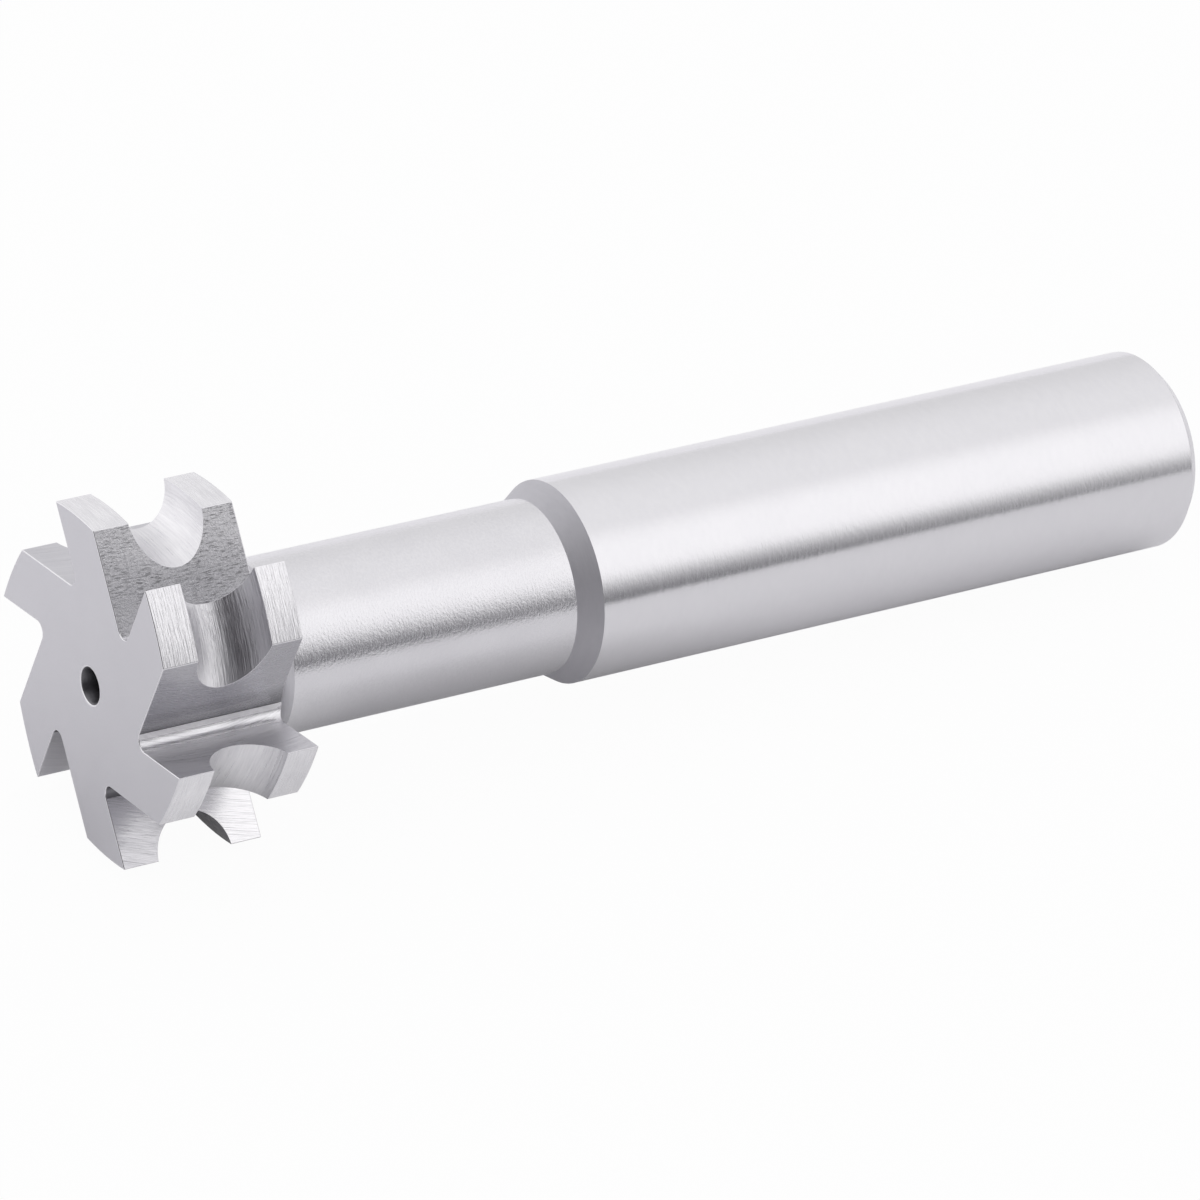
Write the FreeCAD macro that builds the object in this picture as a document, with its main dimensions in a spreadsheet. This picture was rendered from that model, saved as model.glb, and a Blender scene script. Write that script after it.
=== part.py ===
# Concave milling cutter on a plain round shank, turned and ground from one bar.
# X runs along the cutter's axis, from the front face of the head to the rear end of the shank.
# Angles in the cross-section grow from Y to Z, and one cutting tip stands on Y.
import FreeCAD, Part
import math
import os
import Sketcher

# Driving dimensions, in millimetres and degrees
sizes = [
    ("cutter_diameter", 22.225),
    ("head_width", 9.28),
    ("corner_radius", 1.5),
    ("neck_diameter", 10.91),
    ("shoulder_length", 1.4),
    ("shank_diameter", 12.7),
    ("shank_length", 44.45),
    ("overall_length", 76.2),
    ("end_chamfer", 0.8),
    ("tooth_count", 6),
    ("rake_angle", 9.2),
    ("land_angle", 25),
    ("relief_radius", 20),
    ("relief_angle", 17.1),
    ("gullet_angle", 59.4),
    ("gullet_radius", 0.65),
    ("form_radius", 2.46),
    ("form_depth", 2.3),
    ("form_centre", 4.78),
    ("form_sweep", 43),
    ("front_centre_diameter", 2.1),
    ("front_centre_depth", 4),
    ("front_centre_chamfer", 0.16),
    ("rear_centre_diameter", 1.6),
    ("rear_centre_mouth", 3.6),
    ("rear_centre_depth", 3.8),
    ("centre_angle", 60),
    ("drill_point_angle", 118),
    ("grinding_stock", 0.3),
    ("cutting_clearance", 1.2),
]
val = dict(sizes)

doc = FreeCAD.newDocument("ConcaveCutter")
sheet = doc.addObject("Spreadsheet::Sheet", "Sizes")
for row, (name, value) in enumerate(sizes, start=1):
    sheet.set("A%d" % row, name)
    sheet.set("B%d" % row, str(value))
    sheet.setAlias("B%d" % row, name)
doc.recompute()

body = doc.addObject("PartDesign::Body", "ConcaveCutter")
body.Label = "concave_cutter"

# Point numbers within a sketch element, and the sketch's own origin and axis
START, END, CENTRE = 1, 2, 3
ORIGIN = (-1, 1)
AXIS = -1


def origin_feature(role):
    return [f for f in body.Origin.OriginFeatures if f.Role == role][0]


def new_sketch(name, plane):
    sketch = body.newObject("Sketcher::SketchObject", name)
    sketch.AttachmentSupport = [(origin_feature(plane), "")]
    sketch.MapMode = "FlatFace"
    return sketch


def line(sketch, start, end, guide=False):
    return sketch.addGeometry(Part.LineSegment(FreeCAD.Vector(*start, 0), FreeCAD.Vector(*end, 0)), guide)


def arc(sketch, centre, radius, first, last):
    circle = Part.Circle(FreeCAD.Vector(*centre, 0), FreeCAD.Vector(0, 0, 1), radius)
    return sketch.addGeometry(Part.ArcOfCircle(circle, first, last), False)


def rule(sketch, kind, *where):
    sketch.addConstraint(Sketcher.Constraint(kind, *where))


def size(sketch, name, kind, where, value, formula):
    index = sketch.addConstraint(Sketcher.Constraint(kind, *where, value))
    sketch.renameConstraint(index, name)
    sketch.setExpression("Constraints." + name, formula)


def revolve(kind, name, sketch, axis, angle):
    feature = body.newObject("PartDesign::" + kind, name)
    feature.Profile = sketch
    feature.ReferenceAxis = (sketch, [axis])
    feature.Angle = angle
    return feature


def polar(radius, degrees):
    a = math.radians(degrees)
    return (radius * math.cos(a), radius * math.sin(a))


# The bar as turned: head with grinding stock, hollow corner, neck, shoulder, shank, end chamfer
head_r = val["cutter_diameter"] / 2 + val["grinding_stock"]
neck_r = val["neck_diameter"] / 2
shank_r = val["shank_diameter"] / 2
corner = val["corner_radius"]
width = val["head_width"]
length = val["overall_length"]
shoulder_end = length - val["shank_length"]
shoulder_start = shoulder_end - val["shoulder_length"]
chamfer = val["end_chamfer"]

bar = new_sketch("BarProfile", "XZ_Plane")
front_face = line(bar, (0, 0), (0, head_r))
head_top = line(bar, (0, head_r), (width, head_r))
head_back = line(bar, (width, head_r), (width, neck_r + corner))
hollow = arc(bar, (width + corner, neck_r + corner), corner, math.pi, 1.5 * math.pi)
neck = line(bar, (width + corner, neck_r), (shoulder_start, neck_r))
shoulder = line(bar, (shoulder_start, neck_r), (shoulder_end, shank_r))
shank = line(bar, (shoulder_end, shank_r), (length - chamfer, shank_r))
end_bevel = line(bar, (length - chamfer, shank_r), (length, shank_r - chamfer))
rear_face = line(bar, (length, shank_r - chamfer), (length, 0))
axis_line = line(bar, (length, 0), (0, 0))
rule(bar, "Coincident", front_face, START, *ORIGIN)
run = [front_face, head_top, head_back]
for before, after in zip(run, run[1:]):
    rule(bar, "Coincident", before, END, after, START)
rule(bar, "Tangent", head_back, END, hollow, START)
rule(bar, "Tangent", hollow, END, neck, START)
run = [neck, shoulder, shank, end_bevel, rear_face, axis_line, front_face]
for before, after in zip(run, run[1:]):
    rule(bar, "Coincident", before, END, after, START)
for upright in (front_face, head_back, rear_face):
    rule(bar, "Vertical", upright)
for level in (head_top, neck, shank, axis_line):
    rule(bar, "Horizontal", level)
size(bar, "HeadRadius", "DistanceY", (*ORIGIN, head_top, START), head_r,
     "Sizes.cutter_diameter / 2 + Sizes.grinding_stock")
size(bar, "HeadWidth", "DistanceX", (*ORIGIN, head_back, START), width, "Sizes.head_width")
size(bar, "CornerRadius", "Radius", (hollow,), corner, "Sizes.corner_radius")
size(bar, "NeckRadius", "DistanceY", (*ORIGIN, neck, END), neck_r, "Sizes.neck_diameter / 2")
size(bar, "ShoulderLength", "DistanceX", (shoulder, START, shoulder, END),
     val["shoulder_length"], "Sizes.shoulder_length")
size(bar, "ShankRadius", "DistanceY", (*ORIGIN, shank, START), shank_r, "Sizes.shank_diameter / 2")
size(bar, "ShankLength", "DistanceX", (shank, START, rear_face, END),
     val["shank_length"], "Sizes.shank_length")
size(bar, "OverallLength", "DistanceX", (*ORIGIN, rear_face, END), length, "Sizes.overall_length")
size(bar, "BevelLength", "DistanceX", (end_bevel, START, end_bevel, END), chamfer, "Sizes.end_chamfer")
size(bar, "BevelDepth", "DistanceY", (end_bevel, END, end_bevel, START), chamfer, "Sizes.end_chamfer")
blank = revolve("Revolution", "TurnedBar", bar, "H_Axis", 360)
doc.recompute()
volumes = [("TurnedBar", body.Shape.Volume)]

# Drilled centre in the front face: short chamfer, straight bore, drill point
bore_r = val["front_centre_diameter"] / 2
lip = val["front_centre_chamfer"]
deep = val["front_centre_depth"]
point = bore_r / math.tan(math.radians(val["drill_point_angle"] / 2))
hole = new_sketch("FrontCentreProfile", "XZ_Plane")
mouth = line(hole, (0, 0), (0, bore_r + lip))
bevel = line(hole, (0, bore_r + lip), (lip, bore_r))
wall = line(hole, (lip, bore_r), (deep, bore_r))
drill_end = line(hole, (deep, bore_r), (deep + point, 0))
middle = line(hole, (deep + point, 0), (0, 0))
run = [mouth, bevel, wall, drill_end, middle, mouth]
for before, after in zip(run, run[1:]):
    rule(hole, "Coincident", before, END, after, START)
rule(hole, "Coincident", mouth, START, *ORIGIN)
rule(hole, "Vertical", mouth)
rule(hole, "Horizontal", wall)
rule(hole, "Horizontal", middle)
size(hole, "BoreRadius", "DistanceY", (*ORIGIN, wall, START), bore_r, "Sizes.front_centre_diameter / 2")
size(hole, "LipLength", "DistanceX", (bevel, START, bevel, END), lip, "Sizes.front_centre_chamfer")
size(hole, "LipDepth", "DistanceY", (bevel, END, bevel, START), lip, "Sizes.front_centre_chamfer")
size(hole, "BoreDepth", "DistanceX", (*ORIGIN, wall, END), deep, "Sizes.front_centre_depth")
size(hole, "PointLength", "DistanceX", (drill_end, START, drill_end, END), point,
     "Sizes.front_centre_diameter / 2 / tan(Sizes.drill_point_angle / 2)")
revolve("Groove", "FrontCentre", hole, "H_Axis", 360)
doc.recompute()
volumes.append(("FrontCentre", body.Shape.Volume))

# Drilled centre in the rear end: cone for a lathe centre and a small pilot bore
pilot_r = val["rear_centre_diameter"] / 2
mouth_r = val["rear_centre_mouth"] / 2
cone = (mouth_r - pilot_r) / math.tan(math.radians(val["centre_angle"] / 2))
deep = val["rear_centre_depth"]
point = pilot_r / math.tan(math.radians(val["drill_point_angle"] / 2))
hole = new_sketch("RearCentreProfile", "XZ_Plane")
mouth = line(hole, (length, 0), (length, mouth_r))
bevel = line(hole, (length, mouth_r), (length - cone, pilot_r))
wall = line(hole, (length - cone, pilot_r), (length - deep, pilot_r))
drill_end = line(hole, (length - deep, pilot_r), (length - deep - point, 0))
middle = line(hole, (length - deep - point, 0), (length, 0))
run = [mouth, bevel, wall, drill_end, middle, mouth]
for before, after in zip(run, run[1:]):
    rule(hole, "Coincident", before, END, after, START)
rule(hole, "PointOnObject", mouth, START, AXIS)
rule(hole, "Vertical", mouth)
rule(hole, "Horizontal", wall)
rule(hole, "Horizontal", middle)
size(hole, "EndPlace", "DistanceX", (*ORIGIN, mouth, START), length, "Sizes.overall_length")
size(hole, "MouthRadius", "DistanceY", (mouth, START, mouth, END), mouth_r, "Sizes.rear_centre_mouth / 2")
size(hole, "PilotRadius", "DistanceY", (*ORIGIN, wall, START), pilot_r, "Sizes.rear_centre_diameter / 2")
size(hole, "ConeLength", "DistanceX", (bevel, END, bevel, START), cone,
     "(Sizes.rear_centre_mouth - Sizes.rear_centre_diameter) / 2 / tan(Sizes.centre_angle / 2)")
size(hole, "PilotDepth", "DistanceX", (wall, END, mouth, START), deep, "Sizes.rear_centre_depth")
size(hole, "PointLength", "DistanceX", (drill_end, END, drill_end, START), point,
     "Sizes.rear_centre_diameter / 2 / tan(Sizes.drill_point_angle / 2)")
revolve("Groove", "RearCentre", hole, "H_Axis", 360)
doc.recompute()
volumes.append(("RearCentre", body.Shape.Volume))

# One tooth gap, seen along the axis. The relieved land falls on an arc from the tip on Y to the
# heel, the heel's back runs straight in, a small radius turns it into the next tooth's rake face,
# and that face runs out through the next tip to an arc clear of the bar.
tip_r = val["cutter_diameter"] / 2
relief_r = val["relief_radius"]
pitch = 360 / val["tooth_count"]
relief = polar(-relief_r, val["relief_angle"])
relief = (tip_r + relief[0], relief[1])
ray = polar(1, val["land_angle"])
along = relief[0] * ray[0] + relief[1] * ray[1]
across = relief[0] * ray[1] - relief[1] * ray[0]
heel_r = along + math.sqrt(relief_r ** 2 - across ** 2)
heel = polar(heel_r, val["land_angle"])
next_tip = polar(tip_r, pitch)
face_turn = pitch - val["rake_angle"]
back_turn = face_turn - val["gullet_angle"]
face = polar(1, face_turn)
back = polar(1, back_turn)

# Root of the gap: where the face and back lines cross, and the centre of the radius between them
reach = ((next_tip[0] - heel[0]) * face[1] - (next_tip[1] - heel[1]) * face[0]) \
    / (back[0] * face[1] - back[1] * face[0])
root = (heel[0] + reach * back[0], heel[1] + reach * back[1])
half = math.radians(val["gullet_angle"] / 2)
gullet_r = val["gullet_radius"]
setback = gullet_r / math.tan(half)
on_back = (root[0] + setback * back[0], root[1] + setback * back[1])
on_face = (root[0] + setback * face[0], root[1] + setback * face[1])
bisector = polar(gullet_r / math.sin(half), (face_turn + back_turn) / 2)
gullet_centre = (root[0] + bisector[0], root[1] + bisector[1])

# Ends on the outer arc
clear_r = tip_r + val["cutting_clearance"]
slant = next_tip[0] * face[0] + next_tip[1] * face[1]
outer_reach = -slant + math.sqrt(slant ** 2 - tip_r ** 2 + clear_r ** 2)
face_end = (next_tip[0] + outer_reach * face[0], next_tip[1] + outer_reach * face[1])
relief_far = math.hypot(*relief)
turn = math.acos((clear_r ** 2 + relief_far ** 2 - relief_r ** 2) / (2 * clear_r * relief_far))
land_start = polar(clear_r, math.degrees(math.atan2(relief[1], relief[0]) + turn))


def bearing(centre, place):
    return math.atan2(place[1] - centre[1], place[0] - centre[0])


gap = new_sketch("GapProfile", "YZ_Plane")
land = arc(gap, relief, relief_r, bearing(relief, land_start), bearing(relief, heel))
heel_back = line(gap, heel, on_back)
gullet = arc(gap, gullet_centre, gullet_r, math.radians(face_turn + 90), math.radians(back_turn + 270))
rake_face = line(gap, on_face, face_end)
outer = arc(gap, (0, 0), clear_r, bearing((0, 0), land_start), bearing((0, 0), face_end))
relief_guide = line(gap, (tip_r, 0), relief, True)
heel_guide = line(gap, (0, 0), heel, True)
tip_guide = line(gap, (0, 0), next_tip, True)
rule(gap, "PointOnObject", relief_guide, START, AXIS)
rule(gap, "Coincident", relief_guide, END, land, CENTRE)
rule(gap, "Coincident", heel_guide, START, *ORIGIN)
rule(gap, "Coincident", heel_guide, END, land, END)
rule(gap, "Coincident", tip_guide, START, *ORIGIN)
rule(gap, "PointOnObject", tip_guide, END, rake_face)
rule(gap, "Coincident", outer, CENTRE, *ORIGIN)
rule(gap, "Coincident", land, END, heel_back, START)
rule(gap, "Tangent", heel_back, END, gullet, END)
rule(gap, "Tangent", gullet, START, rake_face, START)
rule(gap, "Coincident", rake_face, END, outer, END)
rule(gap, "Coincident", outer, START, land, START)
size(gap, "TipRadius", "DistanceX", (*ORIGIN, relief_guide, START), tip_r, "Sizes.cutter_diameter / 2")
size(gap, "NextTipRadius", "Distance", (tip_guide,), tip_r, "Sizes.cutter_diameter / 2")
size(gap, "ReliefArm", "Distance", (relief_guide,), relief_r, "Sizes.relief_radius")
size(gap, "ReliefRadius", "Radius", (land,), relief_r, "Sizes.relief_radius")
size(gap, "ReliefAngle", "Angle", (relief_guide,), math.radians(val["relief_angle"] - 180),
     "Sizes.relief_angle - 180")
size(gap, "LandAngle", "Angle", (heel_guide,), math.radians(val["land_angle"]), "Sizes.land_angle")
size(gap, "Pitch", "Angle", (tip_guide,), math.radians(pitch), "360 / Sizes.tooth_count")
size(gap, "FaceAngle", "Angle", (rake_face,), math.radians(face_turn),
     "360 / Sizes.tooth_count - Sizes.rake_angle")
size(gap, "BackAngle", "Angle", (heel_back,), math.radians(back_turn + 180),
     "360 / Sizes.tooth_count - Sizes.rake_angle - Sizes.gullet_angle + 180")
size(gap, "GulletRadius", "Radius", (gullet,), gullet_r, "Sizes.gullet_radius")
size(gap, "ClearRadius", "Radius", (outer,), clear_r,
     "Sizes.cutter_diameter / 2 + Sizes.cutting_clearance")

# The gap runs straight through the head and out over the hollow corner behind it
tooth_gap = body.newObject("PartDesign::Pocket", "ToothGap")
tooth_gap.Profile = gap
tooth_gap.Type = "Length"
tooth_gap.Length = width + corner
tooth_gap.setExpression("Length", "Sizes.head_width + Sizes.corner_radius")
tooth_gap.Reversed = True
doc.recompute()
volumes.append(("ToothGap", body.Shape.Volume))

# The half-round form in the tooth's edge, turned about the centre of the relief so that its floor
# falls away behind the cutting edge as the land does
form = new_sketch("FormProfile", "XY_Plane")
form.AttachmentOffset = FreeCAD.Placement(FreeCAD.Vector(0, 0, relief[1]), FreeCAD.Rotation())
form.setExpression("AttachmentOffset.Base.z", "-Sizes.relief_radius * sin(Sizes.relief_angle)")
form_r = val["form_radius"]
form_x = val["form_centre"]
floor_y = tip_r - relief_r * math.cos(math.radians(val["relief_angle"])) + relief_r - val["form_depth"]
clear_y = floor_y + val["form_depth"] + val["cutting_clearance"] + form_r
relief_axis = line(form, (0, relief[0]), (width, relief[0]), True)
half_round = arc(form, (form_x, floor_y + form_r), form_r, math.pi, 2 * math.pi)
rear_wall = line(form, (form_x + form_r, floor_y + form_r), (form_x + form_r, clear_y))
form_top = line(form, (form_x + form_r, clear_y), (form_x - form_r, clear_y))
front_wall = line(form, (form_x - form_r, clear_y), (form_x - form_r, floor_y + form_r))
rule(form, "Horizontal", relief_axis)
rule(form, "PointOnObject", relief_axis, START, -2)
rule(form, "Tangent", front_wall, END, half_round, START)
rule(form, "Tangent", half_round, END, rear_wall, START)
rule(form, "Coincident", rear_wall, END, form_top, START)
rule(form, "Coincident", form_top, END, front_wall, START)
rule(form, "Vertical", rear_wall)
rule(form, "Vertical", front_wall)
rule(form, "Horizontal", form_top)
size(form, "AxisPlace", "DistanceY", (relief_axis, START, *ORIGIN), -relief[0],
     "Sizes.relief_radius * cos(Sizes.relief_angle) - Sizes.cutter_diameter / 2")
size(form, "AxisLength", "DistanceX", (relief_axis, START, relief_axis, END), width, "Sizes.head_width")
size(form, "FormRadius", "Radius", (half_round,), form_r, "Sizes.form_radius")
size(form, "FormPlace", "DistanceX", (*ORIGIN, half_round, CENTRE), form_x, "Sizes.form_centre")
size(form, "FormReach", "DistanceY", (relief_axis, START, half_round, CENTRE),
     relief_r - val["form_depth"] + form_r,
     "Sizes.relief_radius - Sizes.form_depth + Sizes.form_radius")
size(form, "FormClear", "DistanceY", (half_round, CENTRE, rear_wall, END),
     val["form_depth"] + val["cutting_clearance"], "Sizes.form_depth + Sizes.cutting_clearance")
edge_form = revolve("Groove", "EdgeForm", form, "Axis0", val["form_sweep"])
edge_form.setExpression("Angle", "Sizes.form_sweep")
doc.recompute()
volumes.append(("EdgeForm", body.Shape.Volume))

# The same gap and form at every tooth
teeth = body.newObject("PartDesign::PolarPattern", "Teeth")
teeth.Originals = [tooth_gap, edge_form]
teeth.Axis = (origin_feature("X_Axis"), [""])
teeth.Angle = 360
teeth.Occurrences = int(val["tooth_count"])
teeth.setExpression("Occurrences", "Sizes.tooth_count")
body.Tip = teeth
doc.recompute()
volumes.append(("Teeth", body.Shape.Volume))

for (before, full), (name, left) in zip(volumes, volumes[1:]):
    print("%-12s removes %9.3f mm3" % (name, full - left))
    if left >= full - 0.5:
        raise RuntimeError(name + " removes nothing")

# Lying at rest on a table: the heel of one tooth and the tip of the next carry the head at its
# back corner, and the shank touches at its rear edge, so the axis falls slightly towards the shank
last_heel = polar(heel_r, val["land_angle"] - pitch)
chord = (tip_r - last_heel[0], -last_heel[1])
down = math.degrees(math.atan2(-chord[0], chord[1]))
stand = tip_r * math.cos(math.radians(down))
fall = math.degrees(math.atan2(stand - shank_r, length - chamfer - width))
turned = FreeCAD.Rotation(FreeCAD.Vector(1, 0, 0), -90 - down)
tilted = FreeCAD.Rotation(FreeCAD.Vector(0, 1, 0), fall)
body.Placement = FreeCAD.Placement(FreeCAD.Vector(), tilted.multiply(turned))
doc.recompute()
box = body.Shape.optimalBoundingBox(False, False)
body.Placement.Base = FreeCAD.Vector(-(box.XMin + box.XMax) / 2, -(box.YMin + box.YMax) / 2, -box.ZMin)
doc.recompute()

for item in doc.Objects:
    if "Invalid" in item.State or "Error" in item.State:
        raise RuntimeError(item.Name + " failed: " + str(item.State))
for item in doc.Objects:
    if item.TypeId == "Sketcher::SketchObject" and not item.FullyConstrained:
        print(item.Name, "is not fully constrained")
if body.Shape.isNull() or not body.Shape.isValid() or len(body.Shape.Solids) != 1:
    raise RuntimeError("the cutter is not one valid solid")

os.makedirs("parts", exist_ok=True)
body.Shape.exportStep("parts/" + body.Label + ".step")
box = body.Shape.optimalBoundingBox(False, False)
print("fall %.3f deg, stand %.3f mm, volume %.2f mm3" % (fall, stand, body.Shape.Volume))
print("box %.3f %.3f %.3f to %.3f %.3f %.3f" % (box.XMin, box.YMin, box.ZMin, box.XMax, box.YMax, box.ZMax))
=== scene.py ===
import bmesh
import bpy
import cmath
import math
from mathutils import Matrix, Vector


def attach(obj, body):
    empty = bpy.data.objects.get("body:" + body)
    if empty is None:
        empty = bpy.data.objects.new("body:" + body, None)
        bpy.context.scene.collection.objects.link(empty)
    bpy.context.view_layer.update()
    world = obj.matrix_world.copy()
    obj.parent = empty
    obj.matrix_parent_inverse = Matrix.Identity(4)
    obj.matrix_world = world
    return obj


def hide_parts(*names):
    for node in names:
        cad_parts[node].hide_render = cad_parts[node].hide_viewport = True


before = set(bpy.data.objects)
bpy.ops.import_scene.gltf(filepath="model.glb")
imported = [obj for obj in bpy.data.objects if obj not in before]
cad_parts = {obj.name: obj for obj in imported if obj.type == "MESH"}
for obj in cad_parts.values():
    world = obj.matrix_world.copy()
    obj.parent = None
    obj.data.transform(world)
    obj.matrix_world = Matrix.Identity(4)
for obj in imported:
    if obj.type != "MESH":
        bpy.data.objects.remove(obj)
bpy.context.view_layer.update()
print("frame loaded:", sorted(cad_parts))

scene = bpy.context.scene
scene.view_settings.view_transform = "Standard"

mm = 0.001
micron = 1e-6


# A shader node: its settings by name, its sockets by name or number, each a value or another socket
def addNode(tree, kind, sockets=None, **settings):
    node = tree.nodes.new(kind)
    for name, value in settings.items():
        setattr(node, name, value)
    for name, value in (sockets or {}).items():
        if isinstance(value, bpy.types.NodeSocket):
            tree.links.new(value, node.inputs[name])
        else:
            node.inputs[name].default_value = value
    return node


def maths(tree, operation, a, b):
    return addNode(tree, "ShaderNodeMath", {0: a, 1: b}, operation=operation).outputs[0]


def vectorMaths(tree, operation, a, b):
    return addNode(tree, "ShaderNodeVectorMath", {0: a, 1: b}, operation=operation).outputs


def spread(tree, value, low, high, toLow=0.0, toHigh=1.0, ease="LINEAR"):
    return addNode(tree, "ShaderNodeMapRange", {0: value, 1: low, 2: high, 3: toLow, 4: toHigh},
                   interpolation_type=ease).outputs[0]


# Two values mixed, with the share of the second
def blend(tree, first, second, share):
    return maths(tree, "ADD", maths(tree, "MULTIPLY", first, 1 - share),
                 maths(tree, "MULTIPLY", second, share))


def mixColours(tree, share, first, second):
    return addNode(tree, "ShaderNodeMix", {0: share, 6: first, 7: second}, data_type="RGBA").outputs[2]


def tinted(value, tint):
    return tuple(value * part for part in tint) + (1.0,)


def noise(tree, vector, detail, roughness, scale=1.0):
    return addNode(tree, "ShaderNodeTexNoise", {"Vector": vector, "Scale": scale, "Detail": detail,
                                                "Roughness": roughness}, normalize=True).outputs[0]


# Noise drawn out along a surface: detail and roughness last
def drawnNoise(tree, vector, across, along, detail, roughness):
    scale = addNode(tree, "ShaderNodeCombineXYZ", {0: across, 1: along, 2: along}).outputs[0]
    return noise(tree, vectorMaths(tree, "MULTIPLY", vector, scale)[0], detail, roughness)


# A node group with named sockets, each a Vector or a Float
def newGroup(name, inputs, outputs):
    group = bpy.data.node_groups.new(name, "ShaderNodeTree")
    for label, kind in inputs.items():
        group.interface.new_socket(label, in_out="INPUT", socket_type="NodeSocket" + kind)
    for label, kind in outputs.items():
        group.interface.new_socket(label, in_out="OUTPUT", socket_type="NodeSocket" + kind)
    return group, group.nodes.new("NodeGroupInput").outputs, group.nodes.new("NodeGroupOutput").inputs


# Where a noise is named, it is its detail and roughness; a span is the part of a noise that is used
grindShape = {
    "lineNoise": (3, 0.65),
    "streakNoise": (2, 0.5),
    "streakAcross": 0.3,       # against the lines
    "streakAlong": 0.5,
    "span": (0.3, 0.7),
}


# Lines left by a grinding wheel or a lathe tool: fine ones and broader streaks, both 0 to 1
def makeGrindLines():
    s = grindShape
    group, given, out = newGroup("grindLines", {"Vector": "Vector", "Across": "Float", "Along": "Float"},
                                 {"Lines": "Float", "Streaks": "Float"})
    fine = drawnNoise(group, given["Vector"], given["Across"], given["Along"], *s["lineNoise"])
    across = maths(group, "MULTIPLY", given["Across"], s["streakAcross"])
    along = maths(group, "MULTIPLY", given["Along"], s["streakAlong"])
    broad = drawnNoise(group, given["Vector"], across, along, *s["streakNoise"])
    group.links.new(spread(group, fine, *s["span"]), out["Lines"])
    group.links.new(spread(group, broad, *s["span"]), out["Streaks"])
    return group


tornShape = {
    "grainNoise": (3, 0.7),
    "grainScale": 0.7,         # against the group's Scale
    "grainSpan": (0.25, 0.75),
    "grainHeight": 0.7,
    "tearNoise": (3, 0.6),
    "tearAcross": 1.3,
    "tearAlong": 0.17,
    "tearSpan": (0.53, 0.63),
    "tearHeight": 0.5,
    "crowdNoise": (2, 0.5),
    "crowdScale": 0.45,        # per mm
    "crowdSpan": (0.3, 0.54),
}


# A skin torn by a dull mill: fine grains, and short tears along it where they crowd together
def makeTornSkin():
    s = tornShape
    group, given, out = newGroup("tornSkin", {"Vector": "Vector", "Scale": "Float"},
                                 {"Tears": "Float", "Grains": "Float", "Height": "Float"})
    coarse = maths(group, "MULTIPLY", given["Scale"], s["grainScale"])
    grains = spread(group, drawnNoise(group, given["Vector"], coarse, coarse, *s["grainNoise"]),
                    *s["grainSpan"])
    across = maths(group, "MULTIPLY", given["Scale"], s["tearAcross"])
    along = maths(group, "MULTIPLY", given["Scale"], s["tearAlong"])
    strokes = drawnNoise(group, given["Vector"], across, along, *s["tearNoise"])
    crowd = spread(group, noise(group, given["Vector"], *s["crowdNoise"], s["crowdScale"]), *s["crowdSpan"])
    tears = maths(group, "MULTIPLY", spread(group, strokes, *s["tearSpan"]), crowd)
    height = maths(group, "SUBTRACT", maths(group, "MULTIPLY", grains, s["grainHeight"]),
                   maths(group, "MULTIPLY", tears, s["tearHeight"]))
    group.links.new(tears, out["Tears"])
    group.links.new(grains, out["Grains"])
    group.links.new(height, out["Height"])
    return group


driftShape = {
    "noise": (2, 0.5),
    "span": (0.3, 0.7),
}


# Slow drift of tone over a ground surface
def makeToneDrift():
    s = driftShape
    group, given, out = newGroup("toneDrift", {"Vector": "Vector", "Scale": "Float"}, {"Drift": "Float"})
    slow = drawnNoise(group, given["Vector"], given["Scale"], given["Scale"], *s["noise"])
    group.links.new(spread(group, slow, *s["span"]), out["Drift"])
    return group


# How far a place lies between two distances, measured along the cutter and out from its axis, where painted
# light and shade fade in
def makePaintedLightFade():
    group, given, out = newGroup("paintedLightFade", {"Vector": "Vector", "Start": "Float", "End": "Float"},
                                 {"Along": "Float", "Out": "Float"})
    parts = addNode(group, "ShaderNodeSeparateXYZ", {0: given["Vector"]}).outputs
    section = addNode(group, "ShaderNodeCombineXYZ", {"Y": parts["Y"], "Z": parts["Z"]}).outputs[0]
    radius = addNode(group, "ShaderNodeVectorMath", {0: section}, operation="LENGTH").outputs["Value"]
    for label, place in (("Along", parts["X"]), ("Out", radius)):
        group.links.new(spread(group, place, given["Start"], given["End"]), out[label])
    return group


grindLines = makeGrindLines()
tornSkin = makeTornSkin()
toneDrift = makeToneDrift()
paintedLightFade = makePaintedLightFade()
print("grain effects made")
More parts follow.
